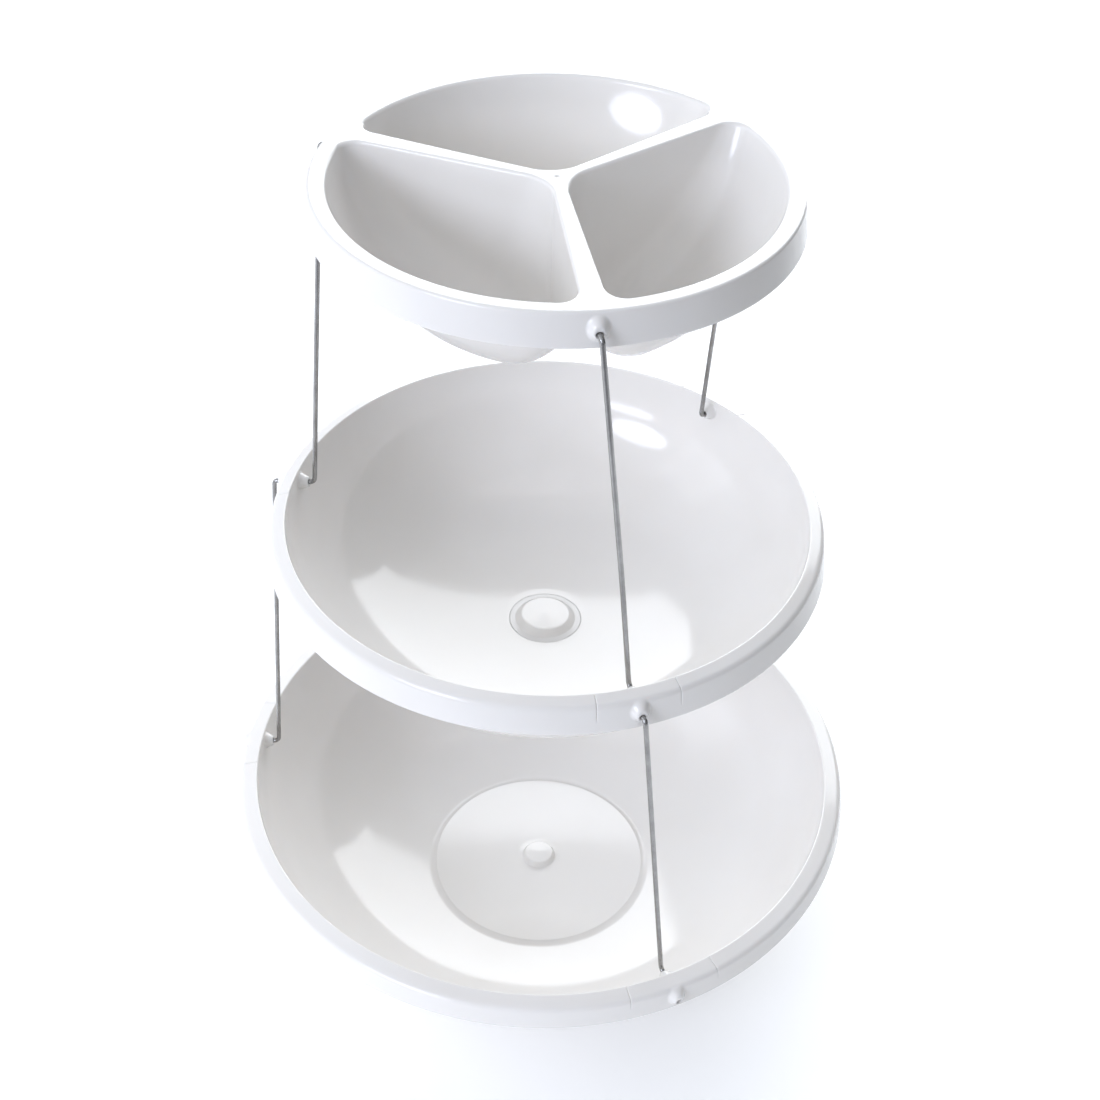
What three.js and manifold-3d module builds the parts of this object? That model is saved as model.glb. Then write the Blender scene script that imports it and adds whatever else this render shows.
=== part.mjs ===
// Three-tier twist serving stand: a divided top dish and two bowls, one over the other on six bent wires.
// Millimetres, +Z up, origin on the table under the middle. Azimuth 0 faces -Y and grows towards +X.
import * as THREE from 'three';
import { mergeVertices } from 'three/addons/utils/BufferGeometryUtils.js';
import Module from 'manifold-3d';

const wasm = await Module();
wasm.setup();

// ---- driving dimensions ----
const WALL = 2.4;                 // moulded wall of every tier
const ROUND_SEGMENTS = 36;        // facets round a tier
const GENTLE_STEPS = 2;           // facets of a bowl's nearly flat part
const WALL_STEPS = 6;             // facets of its rising wall
const WIRE_RADIUS = 1.1;
const HOLE_RADIUS = 2.1;          // wire holes are easy fits, so that the locked lean has room
const HOLE_DEPTH = 7.2;
const HOOK_LENGTH = 7;            // wire inside a hole, measured from the leg
const LEG_CLEARANCE = 1.7;        // leg centre to boss tip
const LOWER_HOOK_CLEARANCE = 2.1; // the same at the lower end, which never turns sideways
const BEND_RADIUS = 2.2;          // where a wire turns into its hook
const BEND_STEPS = 4;
const WIRE_SIDES = 8;
const HOLE_SIDES = 12;

// Each tier: inner rim edge, outer lip edge, skirt, and the azimuth of its front boss in degrees.
// Each bowl: a floor raised by a step, a gentle part out to gentleR, and a wall that rises to the rim.
const TOP = {
  innerR: 90.9, rimZ: 420.9, lipR: 96.6, lipZ: 421.1, skirtR: 100, skirtZ: 406.7,
  bossZ: 413.5, azimuth: 9.5,
};
const MIDDLE = {
  innerR: 118.7, rimZ: 253.2, lipR: 123.9, lipZ: 251.3, skirtR: 127.1, skirtZ: 237.8,
  bossZ: 247, azimuth: 18.5,
  floorZ: 186.2, floorR: 20, floorSlope: 3, gentleR: 68, gentleSlope: 14, dome: 0.3, step: 0,
  buttonR: 14.2, buttonTopR: 11, buttonHeight: 3,
};
const BOTTOM = {
  innerR: 144.9, rimZ: 88.8, lipR: 151.9, lipZ: 87.2, skirtR: 154.7, skirtZ: 76,
  bossZ: 83.5, azimuth: 25,
  floorZ: 9, floorR: 57.6, floorSlope: 8, gentleR: 89, gentleSlope: 18.7, dome: 1.5, step: 1.2,
  buttonR: 8.8, buttonTopR: 7, buttonHeight: 3.4,
};
const FOOT = { outerR: 56, innerR: 52 };
const STEP_WIDTH = 2.2;           // slant of the step round a raised floor
const LIP_ROUND = 3;              // radius of the corner from lip to skirt
const LIP_GAP = 0.6;              // how much thicker the lip is than the wall
const SKIRT_DRAFT = 0.3;          // taper of the skirt's outside, from top to bottom

// The three cups of the top dish: a round bowl cut by two leaning partition walls.
const CUP = {
  depth: 68, partitionHalf: 2.75, partitionSpread: 0.023, draft: 0.04,
  cornerTop: 9, cornerBottom: 23, centreR: 48, overshoot: 5,
};
const CUP_COLUMNS = 28;
const CUP_ROWS = 16;
const CUP_REACH = 150;            // longest search from a cup's middle for its wall
const CUP_SEARCH_STEPS = 40;

// Bosses stand on the skirt or the wall by `reach`; sunk and root say how far they go into it.
const OUTER_BOSS = { reach: 2.6, sunk: 0.8, root: 6, baseR: 5.2, shoulderR: 4.6, tipR: 3.2, rootR: 3.8 };
const INNER_BOSS = { reach: 4.6, root: 1.6, baseR: 4, tipR: 3.2 };
const DRILL_START = 4;            // how far outside a boss its drill starts

const COPIES = [{ name: 'front', turn: 0 }, { name: 'rear', turn: 120 }, { name: 'left', turn: 240 }];
const UP = new THREE.Vector3(0, 0, 1);

// ---- solids ----
function toSolid(geometry) {
  const bare = new THREE.BufferGeometry();
  bare.setAttribute('position', geometry.getAttribute('position'));
  if (geometry.index) bare.setIndex(geometry.index);
  const merged = mergeVertices(bare, 1e-4);
  const triVerts = [];
  for (let i = 0; i < merged.index.count; i += 3) {
    const [a, b, c] = [0, 1, 2].map((k) => merged.index.getX(i + k));
    if (a !== b && b !== c && c !== a) triVerts.push(a, b, c);
  }
  return new wasm.Manifold(new wasm.Mesh({
    numProp: 3,
    vertProperties: new Float32Array(merged.getAttribute('position').array),
    triVerts: new Uint32Array(triVerts),
  }));
}

function toGeometry(solid) {
  const mesh = solid.getMesh();
  const geometry = new THREE.BufferGeometry();
  geometry.setAttribute('position', new THREE.BufferAttribute(new Float32Array(mesh.vertProperties), 3));
  geometry.setIndex(new THREE.BufferAttribute(new Uint32Array(mesh.triVerts), 1));
  geometry.computeVertexNormals();
  return geometry;
}

// A solid turned about +Z from a closed outline of [radius, height] points. The outline runs out along
// the underside and back along the top.
function turned(outline, segments = ROUND_SEGMENTS) {
  const points = outline.map(([r, z]) => new THREE.Vector2(r, z));
  return new THREE.LatheGeometry(points, segments).rotateX(Math.PI / 2);
}

function radial(azimuth) {
  const a = THREE.MathUtils.degToRad(azimuth);
  return new THREE.Vector3(Math.sin(a), -Math.cos(a), 0);
}

// A solid turned about a tier's radial line: its outline's heights are distances from the Z axis.
function turnedOnRadial(outline, azimuth, height, segments) {
  const toRadial = new THREE.Quaternion().setFromUnitVectors(UP, radial(azimuth));
  return turned(outline, segments).applyQuaternion(toRadial).translate(0, 0, height);
}

// ---- tiers ----
// A round arc of [radius, height] points that starts with a given slope and goes through the end point.
function roundArc([r0, z0], [r1, z1], startSlope, steps) {
  const chord = Math.atan2(z1 - z0, r1 - r0);
  const s0 = THREE.MathUtils.degToRad(startSlope);
  const s1 = 2 * chord - s0;
  const points = [];
  for (let i = 0; i <= steps; i += 1) {
    const s = s0 + (s1 - s0) * (i / steps);
    const u = (Math.sin(s) - Math.sin(s0)) / (Math.sin(s1) - Math.sin(s0));
    const v = (Math.cos(s0) - Math.cos(s)) / (Math.cos(s0) - Math.cos(s1));
    points.push([r0 + (r1 - r0) * u, z0 + (z1 - z0) * v]);
  }
  return points;
}

function underLipHeight(tier) {
  return tier.lipZ - WALL - LIP_GAP;
}

// Lip and skirt, from the inner rim edge out and down, and back up inside the skirt.
function lipAndSkirt(tier) {
  const outside = [
    [tier.innerR, tier.rimZ],
    [tier.lipR, tier.lipZ],
    [tier.lipR + 0.7 * LIP_ROUND, tier.lipZ - 0.45 * LIP_ROUND],
    [tier.skirtR - SKIRT_DRAFT, tier.lipZ - 1.6 * LIP_ROUND],
    [tier.skirtR, tier.skirtZ],
  ];
  const inside = [
    [tier.skirtR - WALL, tier.skirtZ],
    [tier.skirtR - WALL - SKIRT_DRAFT, tier.lipZ - 1.6 * LIP_ROUND],
    [tier.lipR - SKIRT_DRAFT, underLipHeight(tier)],
  ];
  return { outside, inside };
}

// Height of a bowl's floor, which is domed up to the middle and stands on a step.
function floorHeight(tier, r) {
  return tier.floorZ + tier.step + tier.dome * (1 - (r / tier.floorR) ** 2);
}

// A bowl's side from floorR to the rim, lowered by `drop`, as its gentle part and its wall.
function bowlSide(tier, drop, rim) {
  const tilt = THREE.MathUtils.degToRad((tier.floorSlope + tier.gentleSlope) / 2);
  const start = [tier.floorR, tier.floorZ - drop];
  const middle = [tier.gentleR, start[1] + (tier.gentleR - tier.floorR) * Math.tan(tilt)];
  const gentle = roundArc(start, middle, tier.floorSlope, GENTLE_STEPS);
  return { gentle, wall: roundArc(middle, rim, tier.gentleSlope, WALL_STEPS) };
}

function bowlOutline(tier) {
  const inner = bowlSide(tier, 0, [tier.innerR, tier.rimZ]);
  const outer = bowlSide(tier, WALL, [tier.innerR + WALL, underLipHeight(tier)]);
  const { outside, inside } = lipAndSkirt(tier);
  const floorRadii = [tier.buttonR, tier.floorR - STEP_WIDTH];
  const floor = floorRadii.map((r) => [r, floorHeight(tier, r)]);
  const underside = floor.map(([r, z]) => [r, z - WALL]);
  const buttonTop = floorHeight(tier, 0) + tier.buttonHeight;
  const hollowTop = buttonTop - WALL;
  const hollowR = tier.buttonTopR - 0.5 * WALL;
  return [
    [0, hollowTop],
    [hollowR, hollowTop],
    ...underside,
    ...outer.gentle,
    ...outer.wall.slice(1),
    ...inside.reverse(),
    ...outside.reverse().slice(0, -1),
    ...inner.wall.reverse(),
    ...inner.gentle.reverse().slice(1),
    ...floor.reverse(),
    [tier.buttonTopR, buttonTop],
    [0, buttonTop],
  ];
}

// A wire hole on a tier's radial line, between two radii.
function drilled(from, to, azimuth, height) {
  const outline = [[0, from], [HOLE_RADIUS, from], [HOLE_RADIUS, to], [0, to]];
  return toSolid(turnedOnRadial(outline, azimuth, height, HOLE_SIDES));
}

// The domed boss outside a skirt, with the wire hole drilled into it from its tip.
function outerBoss(tier, azimuth) {
  const { reach, sunk, root, baseR, shoulderR, tipR, rootR } = OUTER_BOSS;
  const tip = tier.skirtR + reach;
  const face = tier.skirtR - sunk;
  const shoulder = (face + tip) / 2;
  const core = face - root;
  const add = toSolid(turnedOnRadial([
    [0, core], [rootR, core], [rootR, face - SKIRT_DRAFT], [baseR, face - SKIRT_DRAFT],
    [shoulderR, shoulder], [tipR, tip], [0, tip],
  ], azimuth, tier.bossZ, HOLE_SIDES));
  return { add, cut: drilled(tip - HOLE_DEPTH, tip + DRILL_START, azimuth, tier.bossZ) };
}

// The plain boss inside a rim, drilled from its inner end.
function innerBoss(tier, azimuth) {
  const { reach, root, baseR, tipR } = INNER_BOSS;
  const wallR = innerWallRadius(tier, tier.bossZ);
  const tip = wallR - reach;
  const end = wallR + WALL + root;
  const add = toSolid(turnedOnRadial([
    [0, tip], [tipR, tip], [baseR, wallR], [baseR, end], [0, end],
  ], azimuth, tier.bossZ, HOLE_SIDES));
  return { add, cut: drilled(tip - DRILL_START, tip + HOLE_DEPTH, azimuth, tier.bossZ) };
}

function innerWallRadius(tier, height) {
  const { wall } = bowlSide(tier, 0, [tier.innerR, tier.rimZ]);
  const above = wall.findIndex(([, z]) => z >= height);
  const [[r0, z0], [r1, z1]] = [wall[above - 1], wall[above]];
  return THREE.MathUtils.mapLinear(height, z0, z1, r0, r1);
}

function bowl(tier, bosses) {
  let solid = toSolid(turned(bowlOutline(tier)));
  const features = COPIES.flatMap(({ turn }) => bosses.map((boss) => boss(tier, tier.azimuth + turn)));
  features.forEach(({ add }) => { solid = solid.add(add); });
  features.forEach(({ cut }) => { solid = solid.subtract(cut); });
  return solid;
}

function footRing() {
  const top = BOTTOM.floorZ - 0.5 * WALL;
  const innerTop = BOTTOM.floorZ + BOTTOM.step - 0.5 * WALL;
  return toSolid(turned([
    [FOOT.innerR, 0], [FOOT.outerR, 0], [FOOT.outerR, top], [FOOT.innerR, innerTop], [FOOT.innerR, 0],
  ]));
}

// ---- the divided top dish ----
// How far a point lies outside one cup. The cup's own axis runs along +X, its partitions at +-60 degrees.
function cupField(x, y, z) {
  const depth = TOP.rimZ - z;
  const ballR = (TOP.innerR ** 2 + CUP.depth ** 2) / (2 * CUP.depth);
  const ball = Math.hypot(x, y, depth - CUP.depth + ballR) - ballR;
  const half = CUP.partitionHalf + CUP.partitionSpread * Math.hypot(x, y) + CUP.draft * depth;
  const across = half - x * Math.sin(Math.PI / 3);
  const sideways = Math.abs(y) * Math.cos(Math.PI / 3);
  const corner = THREE.MathUtils.clamp(
    CUP.cornerTop + (CUP.cornerBottom - CUP.cornerTop) * (depth / (0.8 * CUP.depth)),
    CUP.cornerTop, CUP.cornerBottom);
  const walls = [ball, across + sideways, across - sideways];
  const rounded = Math.hypot(...walls.map((w) => Math.max(w + corner, 0))) - corner;
  return Math.max(rounded, Math.min(Math.max(...walls), -corner));
}

// One cup grown by `grow` and closed flat above the rim: a ball whose points are pushed out to the wall.
function cupSolid(grow, azimuth) {
  const top = TOP.rimZ + CUP.overshoot;
  const ball = new THREE.SphereGeometry(1, CUP_COLUMNS, CUP_ROWS).rotateX(Math.PI / 2);
  const position = ball.getAttribute('position');
  const centre = new THREE.Vector3(CUP.centreR, 0, TOP.rimZ);
  const point = new THREE.Vector3();
  for (let i = 0; i < position.count; i += 1) {
    const direction = new THREE.Vector3().fromBufferAttribute(position, i).normalize();
    let [near, far] = [0, CUP_REACH];
    for (let step = 0; step < CUP_SEARCH_STEPS; step += 1) {
      const middle = (near + far) / 2;
      point.copy(centre).addScaledVector(direction, middle);
      const outside = point.z > top || cupField(point.x, point.y, point.z) > grow;
      if (outside) far = middle;
      else near = middle;
    }
    point.copy(centre).addScaledVector(direction, near);
    position.setXYZ(i, Math.round(point.x * 1e3) / 1e3, Math.round(point.y * 1e3) / 1e3, point.z);
  }
  return toSolid(ball.rotateZ(THREE.MathUtils.degToRad(azimuth - 90)));
}

function topDish() {
  const { outside, inside } = lipAndSkirt(TOP);
  const plate = toSolid(turned([
    [0, TOP.rimZ - WALL], [TOP.innerR, TOP.rimZ - WALL],
    ...inside.reverse(), ...outside.reverse(), [0, TOP.rimZ],
  ]));
  const underLip = toSolid(turned([
    [0, TOP.rimZ - 2 * CUP.depth], [TOP.lipR - 1, TOP.rimZ - 2 * CUP.depth],
    [TOP.lipR - 1, TOP.rimZ - LIP_GAP], [0, TOP.rimZ - LIP_GAP],
  ]));
  const cupAzimuths = COPIES.map(({ turn }) => TOP.azimuth + 60 + turn);
  const outerCups = cupAzimuths.map((azimuth) => cupSolid(WALL, azimuth).intersect(underLip));
  const features = COPIES.map(({ turn }) => outerBoss(TOP, TOP.azimuth + turn));
  let solid = plate;
  outerCups.forEach((cup) => { solid = solid.add(cup); });
  features.forEach(({ add }) => { solid = solid.add(add); });
  cupAzimuths.forEach((azimuth) => { solid = solid.subtract(cupSolid(0, azimuth)); });
  features.forEach(({ cut }) => { solid = solid.subtract(cut); });
  return solid;
}

// ---- wires ----
// A polyline that an extrusion follows station by station.
class StationPath extends THREE.Curve {
  constructor(stations) {
    super();
    this.stations = stations;
  }

  getUtoTmapping(u) {
    return u;
  }

  getPoint(t, target = new THREE.Vector3()) {
    const place = THREE.MathUtils.clamp(t, 0, 1) * (this.stations.length - 1);
    const index = Math.min(Math.floor(place), this.stations.length - 2);
    return target.lerpVectors(this.stations[index], this.stations[index + 1], place - index);
  }
}

// Points round a rounded corner at `corner`, coming from `before` and leaving towards `after`.
function bend(before, corner, after, radius, steps) {
  const start = corner.clone().lerp(before, radius / corner.distanceTo(before));
  const end = corner.clone().lerp(after, radius / corner.distanceTo(after));
  return new THREE.QuadraticBezierCurve3(start, corner, end).getPoints(steps);
}

// A wire from the inner boss of `lower` up to the outer boss of `upper`. Both hooks lie along the lower
// boss's radial line, so that the wire can swing about it.
function wire(lower, upper, turn) {
  const outward = radial(lower.azimuth + turn);
  const along = radial(lower.azimuth + turn + 90);
  const lowerLegR = innerWallRadius(lower, lower.bossZ) - INNER_BOSS.reach - LOWER_HOOK_CLEARANCE;
  const upperLegR = upper.skirtR + OUTER_BOSS.reach + LEG_CLEARANCE;
  const lag = THREE.MathUtils.degToRad(lower.azimuth - upper.azimuth);
  const sideways = -(upperLegR - 0.6 * HOOK_LENGTH) * Math.tan(lag);
  const at = (r, side, z) => outward.clone().multiplyScalar(r).addScaledVector(along, side).setZ(z);
  const lowerEnd = at(lowerLegR + HOOK_LENGTH, 0, lower.bossZ);
  const lowerKnee = at(lowerLegR, 0, lower.bossZ);
  const upperKnee = at(upperLegR, sideways, upper.bossZ);
  const upperEnd = at(upperLegR - HOOK_LENGTH, sideways, upper.bossZ);
  const stations = [
    lowerEnd,
    ...bend(lowerEnd, lowerKnee, upperKnee, BEND_RADIUS, BEND_STEPS),
    ...bend(lowerKnee, upperKnee, upperEnd, BEND_RADIUS, BEND_STEPS),
    upperEnd,
  ];
  const section = new THREE.Shape(
    new THREE.EllipseCurve(0, 0, WIRE_RADIUS, WIRE_RADIUS).getPoints(WIRE_SIDES).slice(0, -1));
  return toSolid(new THREE.ExtrudeGeometry(section, {
    steps: stations.length - 1, extrudePath: new StationPath(stations), bevelEnabled: false,
  }));
}

// ---- assembly ----
const plastic = new THREE.MeshStandardMaterial({ color: 0xf1f0ee, roughness: 0.16, metalness: 0 });
const steel = new THREE.MeshStandardMaterial({ color: 0xb4b3b1, roughness: 0.28, metalness: 1 });
const stand = new THREE.Group();

function place(name, solid, material) {
  const mesh = new THREE.Mesh(toGeometry(solid), material);
  mesh.name = name;
  stand.add(mesh);
}

place('bottom_bowl', bowl(BOTTOM, [outerBoss, innerBoss]).add(footRing()), plastic);
place('middle_bowl', bowl(MIDDLE, [outerBoss, innerBoss]), plastic);
place('top_dish', topDish(), plastic);
COPIES.forEach(({ name, turn }) => {
  place(`lower_wire_${name}`, wire(BOTTOM, MIDDLE, turn), steel);
  place(`upper_wire_${name}`, wire(MIDDLE, TOP, turn), steel);
});

export default stand;
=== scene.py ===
"""Looks of the three-tier twist serving stand: glossy moulded tiers, bent wires, studio light, camera."""
import math

import bpy
import numpy as np
from mathutils import Matrix, Vector


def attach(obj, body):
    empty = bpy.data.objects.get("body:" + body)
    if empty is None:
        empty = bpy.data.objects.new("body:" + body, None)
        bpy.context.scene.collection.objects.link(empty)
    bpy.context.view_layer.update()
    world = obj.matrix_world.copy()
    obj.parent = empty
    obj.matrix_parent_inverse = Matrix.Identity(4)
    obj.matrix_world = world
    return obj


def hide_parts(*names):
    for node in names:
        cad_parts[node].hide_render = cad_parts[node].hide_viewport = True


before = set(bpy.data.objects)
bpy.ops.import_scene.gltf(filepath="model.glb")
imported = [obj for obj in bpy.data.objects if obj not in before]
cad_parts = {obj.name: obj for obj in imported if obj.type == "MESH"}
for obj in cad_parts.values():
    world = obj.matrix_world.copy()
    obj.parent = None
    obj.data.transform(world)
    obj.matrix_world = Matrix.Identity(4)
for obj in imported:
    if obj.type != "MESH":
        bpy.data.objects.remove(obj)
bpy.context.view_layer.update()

MM = 0.001
COPIES = {"front": 0.0, "rear": 120.0, "left": 240.0}

# ---- driving dimensions: millimetres and degrees, azimuth 0 at the front and growing to the right ----
WALL = 2.4
LIP_EXTRA = 0.6             # how much thicker than a wall the lip is
TOP = dict(
    inner_r=90.9, rim_z=420.9, lip_r=96.6, lip_z=421.1, skirt_r=100.0, skirt_z=406.7,
    boss_z=413.5, outer_boss_z=413.5, azimuth=9.5,
)
MIDDLE = dict(
    inner_r=118.7, rim_z=253.2, lip_r=123.9, lip_z=251.3, skirt_r=127.1, skirt_z=237.8,
    boss_z=247.0, outer_boss_z=245.0, azimuth=18.5,
    floor_z=186.2, floor_r=20.0, floor_slope=3.0, gentle_r=68.0, gentle_slope=14.0, dome=0.3, step=0.0,
    button_r=14.2, button_top_r=11.3, button_h=3.0,
)
BOTTOM = dict(
    inner_r=144.9, rim_z=88.8, lip_r=151.9, lip_z=87.2, skirt_r=154.7, skirt_z=76.0,
    boss_z=82.9, outer_boss_z=81.6, azimuth=25.0,
    floor_z=9.0, floor_r=57.6, floor_slope=8.0, gentle_r=89.0, gentle_slope=18.7, dome=1.5, step=1.2,
    button_r=8.8, button_top_r=7.2, button_h=3.4,
)
FOOT = dict(outer_r=56.0, inner_r=52.0)
CUP = dict(
    depth=68.0, half=2.75, spread=0.023, draft=0.04, corner_top=9.0, corner_bottom=23.0, centre_r=48.0,
    edge=1.3,
)
# each boss is a soft mound, raised by lift and taller than wide by stretch, with its hole below the middle
OUTER_BOSS = dict(reach=2.9, base_r=4.8, tip_r=1.5, lift=1.1, stretch=1.15, hole_depth=1.9)
INNER_BOSS = dict(reach=4.0, base_r=4.4, tip_r=1.9, lift=0.0, stretch=1.0, hole_depth=1.1)
HOLE_R = 1.4
HOLE_SNAP = 0.22            # mesh points this near a hole's edge are pulled onto it
HOLE_BLEND = 0.6            # and further ones a little, out to here
# the two mould lines beside each outer boss: degrees from it, half width, depth, and how high above the
# bottom of the skirt they fade in
MOULD_LINE_TURN = 8.35
MOULD_LINE_HALF = 0.34
MOULD_LINE_DEPTH = 0.36
MOULD_LINE_ENDS = (5.0, 7.5)
STEP_WIDTH = 2.2
FINE_STEP = 0.45            # mesh spacing on the skirts and near the bosses
COARSE_STEP = 2.6           # and along the rest of a bowl's inside
BOSS_ROWS = 5.0             # how far above and below an inner boss the mesh is fine
WIRE_R = 1.1
LEG_GAP_UPPER = 0.2
LEG_GAP_LOWER = 2.7
HOOK_UPPER = 4.4
HOOK_LOWER = 7.0
BEND_UPPER = 2.1
BEND_LOWER = 3.2
KINK_AT = 0.32              # how far up a leg its slight kink is
KINK_REACH = 14.0
BEND_STEPS = 8
WIRE_SIDES = 20
DISH_LAND_R = TOP["inner_r"] + 2.2
DISH_UNDER_Z = TOP["lip_z"] - WALL - LIP_EXTRA
DISH_STEP = 0.42            # mesh spacing on the dish's lip and skirt
GATE_R = 1.7                # the small moulding dimple where the partitions meet
GATE_DEPTH = 0.5

# ---- mesh helpers ----


def smooth_mesh(mesh):
    mesh.polygons.foreach_set("use_smooth", [True] * len(mesh.polygons))


def mesh_object(name, verts, faces):
    mesh = bpy.data.meshes.new(name)
    mesh.from_pydata([tuple(v) for v in verts], [], faces)
    mesh.validate()
    mesh.update()
    smooth_mesh(mesh)
    obj = bpy.data.objects.new(name, mesh)
    bpy.context.scene.collection.objects.link(obj)
    return obj


def grid_faces(rows, columns):
    """Faces between the rows of a grid of points."""
    quads = []
    for i in range(rows - 1):
        for j in range(columns - 1):
            a, b = i * columns + j, (i + 1) * columns + j
            quads.append((a, a + 1, b + 1, b))
    return quads


def round_arc(start, end, start_slope, steps):
    """Points of a round arc, [radius, height], that starts with a given slope and goes through the end."""
    chord = math.atan2(end[1] - start[1], end[0] - start[0])
    s0 = math.radians(start_slope)
    s = np.linspace(s0, 2 * chord - s0, steps + 1)
    u = (np.sin(s) - math.sin(s0)) / (np.sin(s[-1]) - math.sin(s0))
    v = (math.cos(s0) - np.cos(s)) / (math.cos(s0) - np.cos(s[-1]))
    return [(start[0] + (end[0] - start[0]) * a, start[1] + (end[1] - start[1]) * b) for a, b in zip(u, v)]


def rounded(corners, steps=5):
    """An open outline with its corners rounded: corners are (radius from axis, height, rounding)."""
    out = []
    for i, (r, z, rounding) in enumerate(corners):
        if rounding == 0 or i in (0, len(corners) - 1):
            out.append((r, z))
            continue
        here = np.array([r, z])
        ways = [np.array(corners[k][:2]) - here for k in (i - 1, i + 1)]
        lengths = [np.linalg.norm(w) for w in ways]
        ways = [w / n for w, n in zip(ways, lengths)]
        half = math.acos(np.clip(ways[0] @ ways[1], -1, 1)) / 2
        reach = min(rounding / math.tan(half), 0.49 * min(lengths))
        start, end = here + ways[0] * reach, here + ways[1] * reach
        for t in np.linspace(0, 1, steps + 1):
            out.append(tuple((1 - t) ** 2 * start + 2 * t * (1 - t) * here + t * t * end))
    return out


def densify(points, spacing_at):
    """Adds points along an outline so that no step is longer than spacing_at gives for its middle."""
    out = [points[0]]
    for a, b in zip(points, points[1:]):
        a, b = np.array(a), np.array(b)
        n = max(1, math.ceil(np.linalg.norm(b - a) / spacing_at((a + b) / 2) - 0.01))
        out.extend(tuple(a + (b - a) * k / n) for k in range(1, n + 1))
    return out


def azimuth_columns(tier, radius, fine=0.42, coarse=2.6, reach=8.0):
    """Azimuths once round, close together near the three bosses and at their mould lines."""
    steps = [0.0]
    fine_deg = math.degrees(fine / radius)
    near = math.degrees(reach / radius)
    while steps[-1] < 60 - 1e-6:
        step = fine_deg if steps[-1] < near else min(coarse, fine_deg * (1 + (steps[-1] - near) * 4))
        steps.append(min(60.0, steps[-1] + step))
    line = [MOULD_LINE_TURN + math.degrees(k * MOULD_LINE_HALF / 2 / radius) for k in range(-3, 4)]
    steps = sorted([a for a in steps if abs(a - MOULD_LINE_TURN) > 0.4] + line)
    third = np.array(steps[:-1] + [120 - a for a in reversed(steps)][:-1])
    once = np.concatenate([third + 120 * k for k in range(3)] + [[360.0]])
    return np.radians(once + tier["azimuth"])


# ---- node tree helper ----


class Tree:
    """Builds a Geometry Nodes tree with named inputs, run on one object and then made real."""

    def __init__(self, name):
        self.group = bpy.data.node_groups.new(name, "GeometryNodeTree")
        self.group.interface.new_socket("Geometry", in_out="INPUT", socket_type="NodeSocketGeometry")
        self.group.interface.new_socket("Geometry", in_out="OUTPUT", socket_type="NodeSocketGeometry")
        self.inp = self.group.nodes.new("NodeGroupInput")
        self.out = self.group.nodes.new("NodeGroupOutput")
        self.values = {}

    def input(self, name, value, kind="NodeSocketFloat"):
        socket = self.group.interface.new_socket(name, in_out="INPUT", socket_type=kind)
        self.values[socket.identifier] = value
        return self.inp.outputs[name]

    def node(self, kind, inputs=None, **settings):
        node = self.group.nodes.new(kind)
        for key, value in settings.items():
            setattr(node, key, value)
        for key, value in (inputs or {}).items():
            if isinstance(value, bpy.types.NodeSocket):
                self.group.links.new(value, node.inputs[key])
            else:
                node.inputs[key].default_value = value
        return node

    def math(self, operation, *values):
        return self.node("ShaderNodeMath", dict(enumerate(values)), operation=operation).outputs[0]

    def distance(self, a, b):
        squares = self.math("ADD", self.math("MULTIPLY", a, a), self.math("MULTIPLY", b, b))
        return self.math("SQRT", squares)

    def ramp(self, value, from_min, from_max, to_max):
        """A smooth step from 0 to to_max as the value goes from from_min to from_max."""
        inputs = {"Value": value, "From Min": from_min, "From Max": from_max,
                  "To Min": 0.0, "To Max": to_max}
        return self.node("ShaderNodeMapRange", inputs, interpolation_type="SMOOTHSTEP").outputs["Result"]

    def run(self, obj, geometry, material):
        """Ends the tree, runs it on the object and returns the result as a plain mesh object."""
        real = self.node("GeometryNodeRealizeInstances", {"Geometry": geometry})
        slot = self.input("Material", material, "NodeSocketMaterial")
        done = self.node("GeometryNodeSetMaterial", {"Geometry": real.outputs[0], "Material": slot})
        self.group.links.new(done.outputs[0], self.out.inputs[0])
        modifier = obj.modifiers.new(self.group.name, "NODES")
        modifier.node_group = self.group
        for key, value in self.values.items():
            modifier[key] = value
        graph = bpy.context.evaluated_depsgraph_get()
        mesh = bpy.data.meshes.new_from_object(obj.evaluated_get(graph), depsgraph=graph)
        name = obj.name
        bpy.data.objects.remove(obj)
        mesh.name = name
        smooth_mesh(mesh)
        plain = bpy.data.objects.new(name, mesh)
        bpy.context.scene.collection.objects.link(plain)
        return plain


# ---- materials ----


def new_material(name):
    material = bpy.data.materials.new(name)
    material.use_nodes = True
    tree = material.node_tree
    return material, tree, tree.nodes["Principled BSDF"]


def shader_node(tree, kind, inputs=None, **settings):
    node = tree.nodes.new(kind)
    for key, value in settings.items():
        setattr(node, key, value)
    for key, value in (inputs or {}).items():
        if isinstance(value, bpy.types.NodeSocket):
            tree.links.new(value, node.inputs[key])
        else:
            node.inputs[key].default_value = value
    return node


def colour_between(tree, factor, dark, light):
    ramp = shader_node(tree, "ShaderNodeValToRGB", {"Fac": factor})
    ramp.color_ramp.elements[0].position = 0.3
    ramp.color_ramp.elements[0].color = (*dark, 1)
    ramp.color_ramp.elements[1].position = 0.7
    ramp.color_ramp.elements[1].color = (*light, 1)
    return ramp.outputs["Color"]


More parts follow.
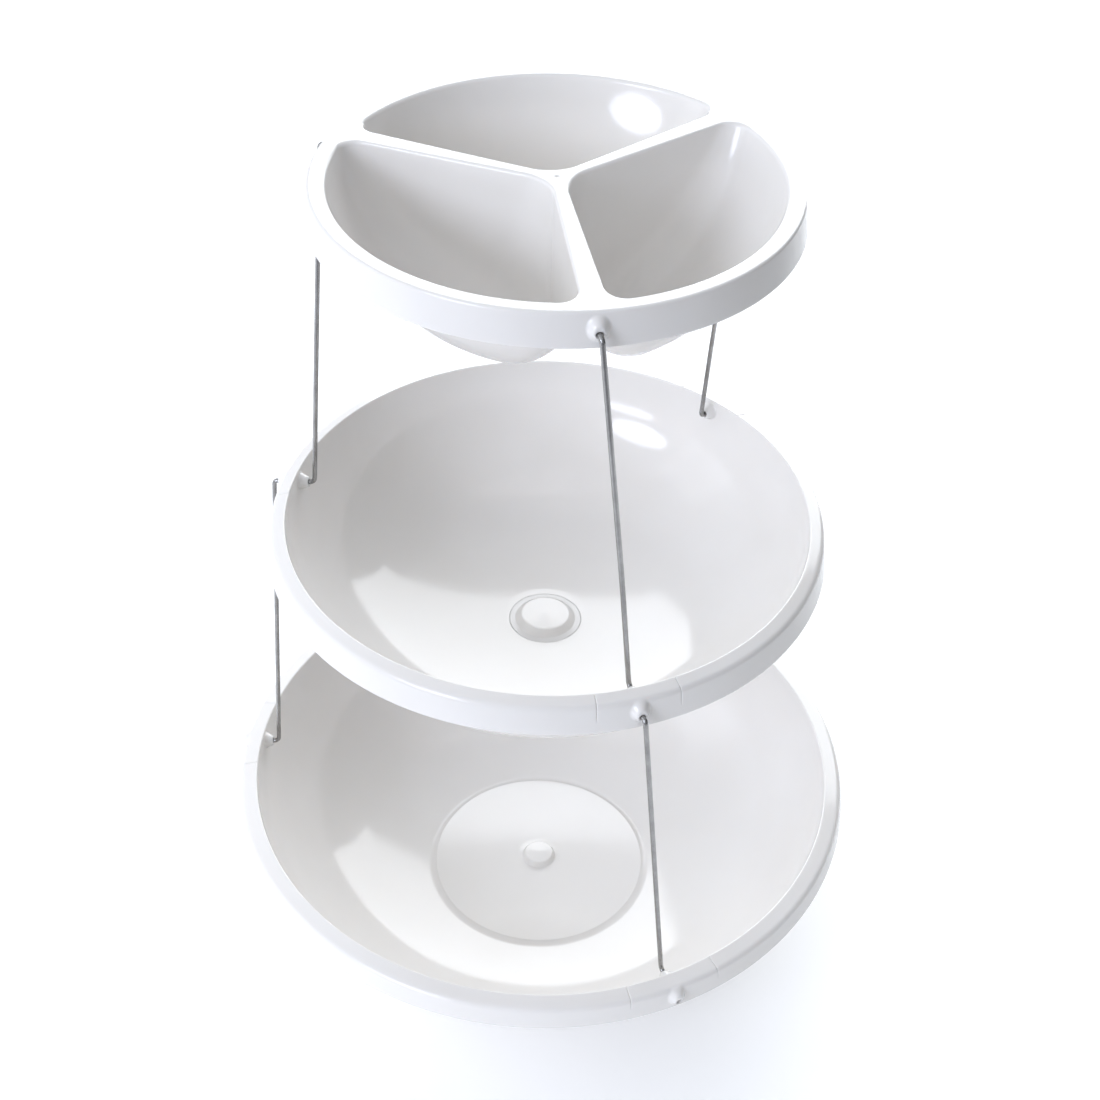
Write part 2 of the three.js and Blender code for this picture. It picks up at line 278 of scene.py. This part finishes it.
def moulded_plastic():
    """White glossy plastic: faint clouding in the colour, a slight swirl in the gloss, orange peel."""
    material, tree, shader = new_material("white_moulded_plastic")
    place = shader_node(tree, "ShaderNodeTexCoord").outputs["Object"]
    cloud = shader_node(tree, "ShaderNodeTexNoise", {"Vector": place, "Scale": 14.0, "Detail": 3.0})
    tint = colour_between(tree, cloud.outputs["Fac"], (0.775, 0.750, 0.720), (0.805, 0.783, 0.757))
    tree.links.new(tint, shader.inputs["Base Color"])
    swirl = shader_node(tree, "ShaderNodeTexNoise",
                        {"Vector": place, "Scale": 35.0, "Detail": 4.0, "Distortion": 0.6})
    gloss = shader_node(tree, "ShaderNodeMapRange",
                        {"Value": swirl.outputs["Fac"], "To Min": 0.07, "To Max": 0.15})
    tree.links.new(gloss.outputs["Result"], shader.inputs["Roughness"])
    peel = shader_node(tree, "ShaderNodeTexNoise", {"Vector": place, "Scale": 260.0, "Detail": 1.0})
    bump = shader_node(tree, "ShaderNodeBump",
                       {"Height": peel.outputs["Fac"], "Strength": 0.06, "Distance": 0.0002})
    tree.links.new(bump.outputs["Normal"], shader.inputs["Normal"])
    shader.inputs["IOR"].default_value = 1.5
    shader.inputs["Subsurface Weight"].default_value = 0.12
    shader.inputs["Subsurface Radius"].default_value = (1.0, 0.85, 0.7)
    shader.inputs["Subsurface Scale"].default_value = 0.004
    return material


def drawn_wire():
    """Bright steel wire with fine drawing lines along its length and a little dulling."""
    material, tree, shader = new_material("bright_steel_wire")
    place = shader_node(tree, "ShaderNodeTexCoord").outputs["Object"]
    along = shader_node(tree, "ShaderNodeMapping", {"Vector": place, "Scale": (1.0, 1.0, 0.03)})
    lines = shader_node(tree, "ShaderNodeTexNoise",
                        {"Vector": along.outputs[0], "Scale": 2600.0, "Detail": 2.0})
    dull = shader_node(tree, "ShaderNodeTexNoise", {"Vector": place, "Scale": 120.0, "Detail": 3.0})
    tint = colour_between(tree, dull.outputs["Fac"], (0.27, 0.265, 0.26), (0.38, 0.375, 0.37))
    tree.links.new(tint, shader.inputs["Base Color"])
    gloss = shader_node(tree, "ShaderNodeMapRange",
                        {"Value": lines.outputs["Fac"], "To Min": 0.16, "To Max": 0.36})
    tree.links.new(gloss.outputs["Result"], shader.inputs["Roughness"])
    bump = shader_node(tree, "ShaderNodeBump",
                       {"Height": lines.outputs["Fac"], "Strength": 0.25, "Distance": 0.00005})
    tree.links.new(bump.outputs["Normal"], shader.inputs["Normal"])
    shader.inputs["Metallic"].default_value = 1.0
    return material


def floor_painted_shade_and_glow():
    """A white table that falls off to grey away from the stand, painted shade for the dim room, and glows
    faintly as painted fill light.
    """
    material, tree, shader = new_material("floor_painted_shade_and_glow")
    place = shader_node(tree, "ShaderNodeTexCoord").outputs["Object"]
    side = shader_node(tree, "ShaderNodeSeparateXYZ", {"Vector": place})
    front = shader_node(tree, "ShaderNodeMath", {0: side.outputs["Y"], 1: -1.6}, operation="MULTIPLY")
    away = shader_node(tree, "ShaderNodeMath", {0: side.outputs["X"], 1: front.outputs[0]},
                       operation="MAXIMUM")
    # painted shade: the colour falls from white to dark grey towards the right and the front, where the
    # room is dim
    tint = shader_node(tree, "ShaderNodeValToRGB", {"Fac": shader_node(tree, "ShaderNodeMapRange", {
        "Value": away.outputs[0], "From Min": 0.75, "From Max": 1.25}).outputs["Result"]})
    tint.color_ramp.elements[0].color = (0.95, 0.95, 0.95, 1)
    tint.color_ramp.elements[1].color = (0.22, 0.22, 0.23, 1)
    # painted light: the same colour also glows faintly, a fill that washes out the stand's cast shadow
    for key in ("Base Color", "Emission Color"):
        tree.links.new(tint.outputs["Color"], shader.inputs[key])
    shader.inputs["Roughness"].default_value = 0.6
    shader.inputs["Emission Strength"].default_value = 0.15
    return material


# ---- bowls ----

OUTSIDE, INSIDE, PLAIN = 1.0, -1.0, 0.0
SKIRT_EDGE = 0.6


def lowest_point(outline):
    """The place in the list of an outline's lowest point, where a skirt turns back inwards."""
    return min(range(len(outline)), key=lambda i: outline[i][1])


def floor_height(tier, r):
    """Height of the middle floor, which is slightly domed and may stand on a small step."""
    return tier["floor_z"] + tier["step"] + tier["dome"] * (1 - (r / tier["floor_r"]) ** 2)


def bowl_side(tier, drop, rim, steps=(16, 46)):
    """A bowl's side from floor_r to the rim, lowered by `drop`: a gentle part and then the wall."""
    tilt = math.radians((tier["floor_slope"] + tier["gentle_slope"]) / 2)
    start = (tier["floor_r"], tier["floor_z"] - drop)
    middle = (tier["gentle_r"], start[1] + (tier["gentle_r"] - tier["floor_r"]) * math.tan(tilt))
    gentle = round_arc(start, middle, tier["floor_slope"], steps[0])
    return gentle + round_arc(middle, rim, tier["gentle_slope"], steps[1])[1:]


def floor_line(tier, r_from, lower, rounding):
    """The floor from r_from out over its step to the crease, lowered by `lower`."""
    edge = tier["floor_r"] - STEP_WIDTH
    flat = [(r, floor_height(tier, r) - lower) for r in np.linspace(r_from, edge - 3, 12)]
    if not tier["step"]:
        return flat + [(edge, floor_height(tier, edge) - lower)]
    step = rounded([(*flat[-1], 0), (edge, floor_height(tier, edge) - lower, rounding),
                    (tier["floor_r"], tier["floor_z"] - lower, 0)], 5)
    return flat[:-1] + step[:-1]


def standing_ring(tier):
    """The foot ring under a bowl, from its outer foot to its inner one."""
    under, inner_top = tier["floor_z"] - WALL, tier["floor_z"] + tier["step"] - WALL
    return rounded([
        (tier["floor_r"], under, 0), (FOOT["outer_r"], under, 0.4), (FOOT["outer_r"] - 0.2, 0.0, 0.6),
        (FOOT["inner_r"] + 0.2, 0.0, 0.6), (FOOT["inner_r"], inner_top, 0.8),
        (FOOT["inner_r"] - 3, inner_top, 0),
    ], 5)


def bowl_outline(tier, foot):
    """The whole closed section of a bowl as (radius, height, skin, crown), from the middle of its inside,
    over the rim and back to the middle of its underside."""
    under_lip = tier["lip_z"] - WALL - LIP_EXTRA
    b_r, b_top_r = tier["button_r"], tier["button_top_r"]
    base_z = floor_height(tier, b_r)
    top_z = floor_height(tier, 0) + tier["button_h"]
    button = rounded([(0, top_z, 0), (b_top_r, top_z - 0.35, 1.2), (b_r, base_z + 0.1, 0.9),
                      (b_r + 2.5, floor_height(tier, b_r + 2.5), 0)], 6)
    wall = bowl_side(tier, 0, (tier["inner_r"], tier["rim_z"]))
    inside = densify(button, lambda p: 0.9) + floor_line(tier, b_r + 3, 0, 0.8) + wall[:-1]
    lip = rounded([
        (*wall[-2], 0), (tier["inner_r"], tier["rim_z"], 0.9), (tier["lip_r"] + 1.2, tier["lip_z"], 3.2),
        (tier["skirt_r"], tier["skirt_z"], 0.7), (tier["skirt_r"] - WALL, tier["skirt_z"], 0.7),
        (tier["skirt_r"] - WALL - LIP_EXTRA, under_lip, 1.2), (tier["inner_r"] + WALL, under_lip, 0),
    ], 8)[1:]
    under = bowl_side(tier, WALL, (tier["inner_r"] + WALL, under_lip), (10, 34))[::-1][1:]
    under_floor = floor_line(tier, b_r + 1, WALL, 0)[::-1]
    if foot:
        ring = standing_ring(tier)
        under_floor = ring[1:] + [p for p in under_floor if p[0] < FOOT["inner_r"] - 4]
    hollow_z = top_z - WALL
    hollow = rounded([
        (b_r + 1, floor_height(tier, b_r + 1) - WALL, 0), (b_r - 1.2, base_z - WALL + 0.3, 0.8),
        (b_top_r - 1.6, hollow_z, 0.8), (0, hollow_z, 0),
    ], 4)[1:]
    inside = densify(inside, lambda p: FINE_STEP if abs(p[1] - tier["boss_z"]) < BOSS_ROWS else COARSE_STEP)
    lowest = lowest_point(lip)
    lip = densify(lip[:lowest + 1], lambda p: FINE_STEP) + densify(lip[lowest:], lambda p: 2.0)[1:]
    outline = [(r, z, INSIDE, 0) for r, z in inside]
    lowest = lowest_point(lip)
    for i, (r, z) in enumerate(lip):
        on_skirt = i < lowest and r > tier["lip_r"] and z > tier["skirt_z"] + SKIRT_EDGE
        on_crown = i < lowest and z > tier["lip_z"] - 1.2
        outline.append((r, z, OUTSIDE if on_skirt else PLAIN, float(on_crown)))
    return outline + [(r, z, PLAIN, 0) for r, z in under + under_floor + hollow]


def unrolled_section(name, outline, azimuths):
    """A bowl's skin laid out flat: x is the azimuth, y the radius and z the height."""
    rows, columns = len(outline), len(azimuths)
    verts = [(a, p[0] * MM, p[1] * MM) for p in outline for a in azimuths]
    obj = mesh_object(name, verts, grid_faces(rows, columns))
    for key, place in (("skin", 2), ("crown", 3)):
        layer = obj.data.attributes.new(key, "FLOAT", "POINT")
        layer.data.foreach_set("value", np.repeat([p[place] for p in outline], columns).astype(np.float32))
    return obj


def rolled_bowl(name, tier, material, foot=False):
    """Rolls the flat skin round the axis, with a drilled boss outside and inside at each of its joints."""
    obj = unrolled_section(name, bowl_outline(tier, foot), azimuth_columns(tier, tier["skirt_r"]))
    t = Tree("rolled_" + name)
    front = t.input("Front boss azimuth", math.radians(tier["azimuth"]))
    boss_z = {"Outer": t.input("Outer boss height", tier["outer_boss_z"] * MM),
              "Inner": t.input("Inner boss height", tier["boss_z"] * MM)}
    hole_r = t.input("Hole radius", HOLE_R * MM)
    snap = t.input("Hole edge snap", HOLE_SNAP * MM)
    blend = t.input("Hole edge blend", HOLE_BLEND * MM)
    sizes = {}
    for side, boss in (("Outer", OUTER_BOSS), ("Inner", INNER_BOSS)):
        sizes[side] = {key: t.input(f"{side} boss {key}", value * (1 if key == "stretch" else MM))
                       for key, value in boss.items()}
    place = t.node("ShaderNodeSeparateXYZ", {"Vector": t.node("GeometryNodeInputPosition").outputs[0]})
    azimuth, radius, height = place.outputs
    skin, crown = (
        t.node("GeometryNodeInputNamedAttribute", {"Name": key}, data_type="FLOAT").outputs["Attribute"]
        for key in ("skin", "crown"))
    line_turn = t.input("Mould line turn", math.radians(MOULD_LINE_TURN))
    line_half = t.input("Mould line half width", MOULD_LINE_HALF * MM)
    line_depth = t.input("Mould line depth", MOULD_LINE_DEPTH * MM)
    half_third = math.radians(60)
    from_boss = t.math("WRAP", t.math("SUBTRACT", azimuth, front), half_third, -half_third)
    across = t.math("MULTIPLY", from_boss, radius)
    outside = t.math("GREATER_THAN", skin, 0.0)
    higher = t.math("SUBTRACT", boss_z["Outer"], boss_z["Inner"])
    hole_z = t.math("ADD", boss_z["Inner"], t.math("MULTIPLY", outside, higher))
    up = t.math("SUBTRACT", height, hole_z)
    away = t.distance(across, up)
    in_hole = t.math("LESS_THAN", away, hole_r)
    from_edge = t.math("SUBTRACT", hole_r, away)
    near_edge = t.math("MULTIPLY", t.ramp(t.math("ABSOLUTE", from_edge), blend, snap, 1.0),
                       t.math("ABSOLUTE", skin))
    pull = t.math("DIVIDE", t.math("MULTIPLY", from_edge, near_edge), t.math("MAXIMUM", away, snap))
    raised = {}
    for side in ("Outer", "Inner"):
        s = sizes[side]
        above = t.math("DIVIDE", t.math("SUBTRACT", up, s["lift"]), s["stretch"])
        boss = t.ramp(t.distance(across, above), s["base_r"], s["tip_r"], s["reach"])
        drop = t.math("MULTIPLY", in_hole, t.math("ADD", boss, s["hole_depth"]))
        raised[side] = t.math("SUBTRACT", boss, drop)
    off_line = t.math("ABSOLUTE", t.math("SUBTRACT", t.math("ABSOLUTE", across),
                                         t.math("MULTIPLY", line_turn, radius)))
    fade = t.ramp(height, *((tier["skirt_z"] + end) * MM for end in MOULD_LINE_ENDS), 1.0)
    groove = t.math("MULTIPLY", t.ramp(off_line, line_half, 0.0, line_depth), fade)
    raised["Outer"] = t.math("SUBTRACT", raised["Outer"], groove)
    outer = t.math("MULTIPLY", t.math("MAXIMUM", skin, 0.0), raised["Outer"])
    inner = t.math("MULTIPLY", t.math("MINIMUM", skin, 0.0), raised["Inner"])
    final = t.math("ADD", radius, t.math("ADD", outer, inner))
    turned = t.math("ADD", azimuth, t.math("DIVIDE", t.math("MULTIPLY", across, pull), radius))
    x = t.math("MULTIPLY", final, t.math("SINE", turned))
    y = t.math("MULTIPLY", final, t.math("MULTIPLY", t.math("COSINE", turned), -1.0))
    level = t.math("ADD", height, t.math("MULTIPLY", up, pull))
    z = t.math("SUBTRACT", level, t.math("MULTIPLY", groove, crown))
    rolled = t.node("ShaderNodeCombineXYZ", {"X": x, "Y": y, "Z": z})
    moved = t.node("GeometryNodeSetPosition",
                   {"Geometry": t.inp.outputs["Geometry"], "Position": rolled.outputs[0]})
    closed = t.node("GeometryNodeMergeByDistance", {"Geometry": moved.outputs[0], "Distance": 1e-6})
    return t.run(obj, closed.outputs[0], material)


# ---- the divided dish ----


def cup_field(x, y, z):
    """How far points lie outside one cup, whose middle line runs along +X."""
    depth = TOP["rim_z"] - z
    ball_r = (TOP["inner_r"] ** 2 + CUP["depth"] ** 2) / (2 * CUP["depth"])
    ball = np.sqrt(x * x + y * y + (depth - CUP["depth"] + ball_r) ** 2) - ball_r
    half = CUP["half"] + CUP["spread"] * np.hypot(x, y) + CUP["draft"] * depth
    across = half - x * math.sin(math.pi / 3)
    sideways = np.abs(y) * 0.5
    share = np.clip(depth / (0.8 * CUP["depth"]), 0, 1)
    corner = CUP["corner_top"] + (CUP["corner_bottom"] - CUP["corner_top"]) * share
    walls = np.stack([ball, across + sideways, across - sideways])
    rounded_in = np.sqrt((np.maximum(walls + corner, 0) ** 2).sum(0)) - corner
    return np.maximum(rounded_in, np.minimum(walls.max(0), -corner))


def cast_to_cup(start, ways, grow):
    """Walks from a point inside the cup along each way until the wall, grown by `grow`."""
    near, far = np.zeros(ways.shape[:-1]), np.full(ways.shape[:-1], 150.0)
    for _ in range(45):
        middle = (near + far) / 2
        p = start + ways * middle[..., None]
        out = cup_field(p[..., 0], p[..., 1], p[..., 2]) > grow
        far, near = np.where(out, middle, far), np.where(out, near, middle)
    return start + ways * near[..., None]


def sector_edge():
    """The edge of one third of the dish: out along one partition, round the lip, back along the other, as
    x, y and whether the point lies on the lip. The bosses are at its two outer corners."""
    fine = math.degrees(DISH_STEP / TOP["skirt_r"])
    near = math.degrees(7.5 / TOP["skirt_r"])
    turns = [0.0]
    while turns[-1] < 60:
        step = fine if turns[-1] < near else min(1.3, fine * (1 + (turns[-1] - near) * 2))
        turns.append(min(60.0, turns[-1] + step))
    arc = np.radians(np.array(turns) - 60)
    arc = np.concatenate([arc, -arc[::-1][1:]])
    out = np.concatenate([np.linspace(0, 2.4, 13)[:-1], np.linspace(2.4, 12, 10)[:-1],
                          np.linspace(12, DISH_LAND_R, 40)[:-1]])
    ray = (math.cos(math.pi / 3), math.sin(math.pi / 3))
    first = [(s * ray[0], -s * ray[1], 0.0) for s in out]
    lip = [(DISH_LAND_R * math.cos(a), DISH_LAND_R * math.sin(a), 1.0) for a in arc]
    last = [(s * ray[0], s * ray[1], 0.0) for s in out[::-1]]
    return np.array(first + lip + last)


def dish_rows(edge):
    """Rows of points over one third of the dish, inside and underneath, from the cup's bottom outwards."""
    start = np.array([CUP["centre_r"], 0, TOP["rim_z"]])
    way = edge[:, :2] - start[:2]
    way /= np.linalg.norm(way, axis=1)[:, None]
    dips = [90, 88, 85, *range(81, 28, -4), 25.5, 22, 19, 16, 13.5, 11, 9, 7, 5.5]
    edge_dips = [4.2, 3.2, 2.4, 1.8, 1.3, 0.9, 0.55, 0.3, 0.12, 0.0]
    land_rows = 9

    def cup_row(dip, grow, lower=0.0):
        c, s = math.cos(math.radians(dip)), math.sin(math.radians(dip))
        ways = np.column_stack([way * c, np.full(len(way), -s)])
        return cast_to_cup(start - (0, 0, lower), ways, grow)

    inside = [cup_row(dip, 0.0) for dip in dips + edge_dips]
    for row in inside:
        depth = np.clip(TOP["rim_z"] - row[:, 2], 0, CUP["edge"])
        flare = CUP["edge"] - np.sqrt(CUP["edge"] ** 2 - (CUP["edge"] - depth) ** 2)
        row[:, :2] += way * flare[:, None]
    target = np.column_stack([edge[:, :2], np.full(len(edge), TOP["rim_z"])])
    cup_edge = inside[-1]
    for k in range(1, land_rows + 1):
        share = (1 - k / land_rows) ** 1.8
        row = cup_edge * share + target * (1 - share)
        centre_r = np.hypot(row[:, 0], row[:, 1])
        row[:, 2] -= GATE_DEPTH * (1 - smooth(centre_r / GATE_R))
        inside.append(row)
    under = [cup_row(dip, WALL) for dip in dips]
    gap = TOP["rim_z"] - DISH_UNDER_Z
    under.append(cup_row(0.0, WALL, gap))
    under.append(np.column_stack([edge[:, :2], np.full(len(edge), DISH_UNDER_Z)]))
    return inside, under


def smooth(t):
    """A smooth step from 0 to 1."""
    t = np.clip(t, 0, 1)
    return t * t * (3 - 2 * t)


def dish_lip_rows(edge):
    """Rows over the lip and the skirt of one third of the dish, with half a drilled boss at each end."""
    azimuth = np.arctan2(edge[:, 1], edge[:, 0])
    side = np.abs(np.abs(azimuth) - math.pi / 3)
    outline = rounded([
        (DISH_LAND_R, TOP["rim_z"], 0), (TOP["inner_r"] + 4.6, TOP["rim_z"] + 0.2, 2),
        (TOP["lip_r"] + 1.4, TOP["lip_z"], 3.4), (TOP["skirt_r"], TOP["skirt_z"], 0.7),
        (TOP["skirt_r"] - WALL, TOP["skirt_z"], 0.7),
        (TOP["skirt_r"] - WALL - LIP_EXTRA, DISH_UNDER_Z, 1.2),
        (DISH_LAND_R, DISH_UNDER_Z, 0),
    ], 8)
    rows = []
    outline = densify(outline, lambda p: DISH_STEP)
    lowest = lowest_point(outline)
    for i, (r, z) in enumerate(outline):
        radius, turned, level = np.full(len(edge), r), azimuth, np.full(len(edge), z)
        if i < lowest and r > TOP["lip_r"] and z > TOP["skirt_z"] + SKIRT_EDGE:
            up = z - TOP["outer_boss_z"]
            away = np.maximum(np.hypot(side * r, up), HOLE_SNAP)
            from_edge = HOLE_R - away
            near_edge = smooth((HOLE_BLEND - np.abs(from_edge)) / (HOLE_BLEND - HOLE_SNAP))
            pull = from_edge * near_edge / away
            above = (up - OUTER_BOSS["lift"]) / OUTER_BOSS["stretch"]
            width = OUTER_BOSS["base_r"] - OUTER_BOSS["tip_r"]
            slope = (np.hypot(side * r, above) - OUTER_BOSS["tip_r"]) / width
            boss = OUTER_BOSS["reach"] * (1 - smooth(slope))
            radius = radius + np.where(away < HOLE_R, -OUTER_BOSS["hole_depth"], boss)
            turned = np.sign(azimuth) * (math.pi / 3 - side * (1 + pull))
            level = level + up * pull
        rows.append(np.column_stack([radius * np.cos(turned), radius * np.sin(turned), level]))
    return rows


def dish_sector(name):
    """One third of the divided dish, its cup's middle line along +X."""
    edge = sector_edge()
    inside, under = dish_rows(edge)
    on_lip = edge[:, 2] > 0
    lip = [row[on_lip] for row in dish_lip_rows(edge)]
    verts, faces = [], []
    for rows in (inside, lip, under[::-1]):
        offset = len(verts)
        columns = len(rows[0])
        verts.extend(tuple(p * MM) for row in rows for p in row)
        faces.extend(tuple(offset + i for i in quad) for quad in grid_faces(len(rows), columns))
    return mesh_object(name, verts, faces)


def divided_dish(name, material):
    """Three turned copies of one third of the dish, joined along the partitions."""
    obj = dish_sector(name)
    t = Tree("three_cups")
    copies = t.input("Cups", 3, "NodeSocketInt")
    first = t.input("First cup azimuth", math.radians(TOP["azimuth"] + 60 - 90))
    line = t.node("GeometryNodeMeshLine", {"Count": copies, "Offset": (0.0, 0.0, 0.0)})
    count = t.node("GeometryNodeInputIndex").outputs[0]
    share = t.math("DIVIDE", 2 * math.pi, copies)
    angle = t.math("ADD", t.math("MULTIPLY", count, share), first)
    turn = t.node("ShaderNodeCombineXYZ", {"Z": angle})
    rotation = t.node("FunctionNodeEulerToRotation", {"Euler": turn.outputs[0]})
    placed = t.node("GeometryNodeInstanceOnPoints", {
        "Points": line.outputs["Mesh"], "Instance": t.inp.outputs["Geometry"],
        "Rotation": rotation.outputs[0]})
    real = t.node("GeometryNodeRealizeInstances", {"Geometry": placed.outputs[0]})
    joined = t.node("GeometryNodeMergeByDistance", {"Geometry": real.outputs[0], "Distance": 2e-6})
    return t.run(obj, joined.outputs[0], material)


# ---- wires ----


def inner_wall_r(tier, height):
    """The radius of a bowl's inside at a height on its wall."""
    side = bowl_side(tier, 0, (tier["inner_r"], tier["rim_z"]), (8, 200))
    return next(r for r, z in side if z >= height)


def bend(before, corner, after, radius, steps):
    """Points round a rounded corner, coming from `before` and leaving towards `after`."""
    start = corner + (before - corner).normalized() * radius
    end = corner + (after - corner).normalized() * radius
    shares = np.linspace(0, 1, steps + 1)
    return [start * (1 - t) ** 2 + corner * 2 * t * (1 - t) + end * t * t for t in shares]


def wire_path(lower, upper, turn, kink):
    """The middle line of a wire, from inside the lower tier's boss up to inside the upper tier's boss."""
    a = math.radians(lower["azimuth"] + turn)
    outward = Vector((math.sin(a), -math.cos(a), 0))
    along = Vector((math.cos(a), math.sin(a), 0))
    lower_leg = inner_wall_r(lower, lower["boss_z"]) - INNER_BOSS["reach"] - LEG_GAP_LOWER
    upper_leg = upper["skirt_r"] + OUTER_BOSS["reach"] + LEG_GAP_UPPER
    lean = math.radians(upper["azimuth"] - lower["azimuth"])
    side = (upper_leg - 0.6 * HOOK_UPPER) * math.tan(lean)
    places = ((lower_leg + HOOK_LOWER, 0, lower["boss_z"]), (lower_leg, 0, lower["boss_z"]),
              (upper_leg, side, upper["outer_boss_z"]),
              (upper_leg - HOOK_UPPER, side, upper["outer_boss_z"]))
    ends = [outward * r + along * s + Vector((0, 0, z)) for r, s, z in places]
    leg = ends[2] - ends[1]
    kinked = ends[1] + leg * KINK_AT + along * kink
    points = [ends[0], *bend(ends[0], ends[1], kinked, BEND_LOWER, BEND_STEPS)]
    points += bend(ends[1], kinked, ends[2], KINK_REACH, BEND_STEPS)
    points += [*bend(kinked, ends[2], ends[3], BEND_UPPER, BEND_STEPS), ends[3]]
    return [p * MM for p in points]


def bent_wire(name, lower, upper, turn, material, kink):
    """A round wire swept along its middle line, with closed ends."""
    path = wire_path(lower, upper, turn, kink)
    mesh = bpy.data.meshes.new(name)
    mesh.from_pydata([tuple(p) for p in path], [(i, i + 1) for i in range(len(path) - 1)], [])
    obj = bpy.data.objects.new(name, mesh)
    bpy.context.scene.collection.objects.link(obj)
    t = Tree("swept_" + name)
    radius = t.input("Wire radius", WIRE_R * MM)
    sides = t.input("Sides", WIRE_SIDES, "NodeSocketInt")
    curve = t.node("GeometryNodeMeshToCurve", {"Mesh": t.inp.outputs["Geometry"]})
    circle = t.node("GeometryNodeCurvePrimitiveCircle", {"Resolution": sides, "Radius": radius})
    swept = t.node("GeometryNodeCurveToMesh", {
        "Curve": curve.outputs[0], "Profile Curve": circle.outputs["Curve"], "Fill Caps": True})
    return t.run(obj, swept.outputs[0], material)


# ---- studio ----


def floor_sheet(material):
    half = 6
    corners = [(-half, -half, 0), (half, -half, 0), (half, half, 0), (-half, half, 0)]
    floor = mesh_object("floor", corners, [(0, 1, 2, 3)])
    floor.data.materials.append(material)


def softbox(name, place, aim, size, power, colour, shape="RECTANGLE"):
    """A soft light at `place` facing `aim`."""
    light = bpy.data.lights.new(name, "AREA")
    light.shape = shape
    light.size, light.size_y = size
    light.energy = power
    light.color = colour
    obj = bpy.data.objects.new(name, light)
    obj.location = place
    obj.rotation_euler = (Vector(aim) - Vector(place)).to_track_quat("-Z", "Y").to_euler()
    bpy.context.scene.collection.objects.link(obj)


def soft_studio():
    """Surroundings bright on the left and dim on the right, a white backdrop behind, and soft boxes on the
    left and at the front left."""
    world = bpy.data.worlds.new("studio")
    bpy.context.scene.world = world
    world.use_nodes = True
    tree = world.node_tree
    background = tree.nodes["Background"]
    way = shader_node(tree, "ShaderNodeTexCoord").outputs["Generated"]
    brightest = (-0.90, -0.15, 0.40)
    from_right = shader_node(tree, "ShaderNodeVectorMath", {0: way, 1: brightest}, operation="DOT_PRODUCT")
    level = shader_node(tree, "ShaderNodeMapRange", {
        "Value": from_right.outputs["Value"], "From Min": -0.8, "From Max": 0.9,
        "To Min": 0.08, "To Max": 1.05})
    tree.links.new(level.outputs["Result"], background.inputs["Strength"])
    background.inputs["Color"].default_value = (0.92, 0.96, 1.03, 1)
    cool, blue = (0.93, 0.965, 1.0), (0.84, 0.90, 1.08)
    softbox("backdrop", (0.78, 3.0, 1.72), (0.78, 0, 1.72), (3.3, 3.3), 146, cool)
    softbox("left_box", (-1.5, -0.25, 1.0), (0, 0, 0.25), (0.8, 1.1), 2.4, cool)
    softbox("front_box_upper", (-1.26, -1.38, 1.08), (0, 0, 0.2), (1.0, 0.62), 12.5, blue, "ELLIPSE")
    softbox("front_box_lower", (-1.14, -1.62, 0.52), (0, 0, 0.2), (0.85, 0.26), 4.2, blue, "ELLIPSE")


def studio_camera():
    """The camera that shows the stand from slightly above, rolled a little."""
    azimuth, elevation, roll = 0.0, math.radians(40.31), math.radians(1.62)
    aim, distance = Vector((0.0014, 0.0, 0.2288)), 0.816
    back = Vector((0, -math.cos(elevation), math.sin(elevation)))
    up = Vector((0, math.sin(elevation), math.cos(elevation)))
    side = Vector((1, 0, 0))
    right = side * math.cos(roll) + up * math.sin(roll)
    top = up * math.cos(roll) - side * math.sin(roll)
    data = bpy.data.cameras.new("camera")
    data.lens, data.sensor_width = 57.7, 36.0
    data.clip_start = 0.01
    camera = bpy.data.objects.new("camera", data)
    place = aim + back * distance
    camera.matrix_world = Matrix((
        (right.x, top.x, back.x, place.x), (right.y, top.y, back.y, place.y),
        (right.z, top.z, back.z, place.z), (0, 0, 0, 1)))
    bpy.context.scene.collection.objects.link(camera)
    bpy.context.scene.camera = camera


# ---- the stand ----


def fit(obj, body):
    """The piece rides on its body and stands for that body's solid."""
    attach(obj, body)
    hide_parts(body)


def build():
    plastic, steel = moulded_plastic(), drawn_wire()
    fit(rolled_bowl("bottom_bowl_shell", BOTTOM, plastic, foot=True), "bottom_bowl")
    fit(rolled_bowl("middle_bowl_shell", MIDDLE, plastic), "middle_bowl")
    fit(divided_dish("top_dish_shell", plastic), "top_dish")
    for copy, turn in COPIES.items():
        for level, lower, upper, kink in (("lower", BOTTOM, MIDDLE, 0.0), ("upper", MIDDLE, TOP, 0.5)):
            name = f"{level}_wire_{copy}"
            fit(bent_wire(f"{name}_spring", lower, upper, turn, steel, kink), name)
    floor_sheet(floor_painted_shade_and_glow())


build()
soft_studio()
studio_camera()
bpy.context.scene.view_settings.view_transform = "Standard"
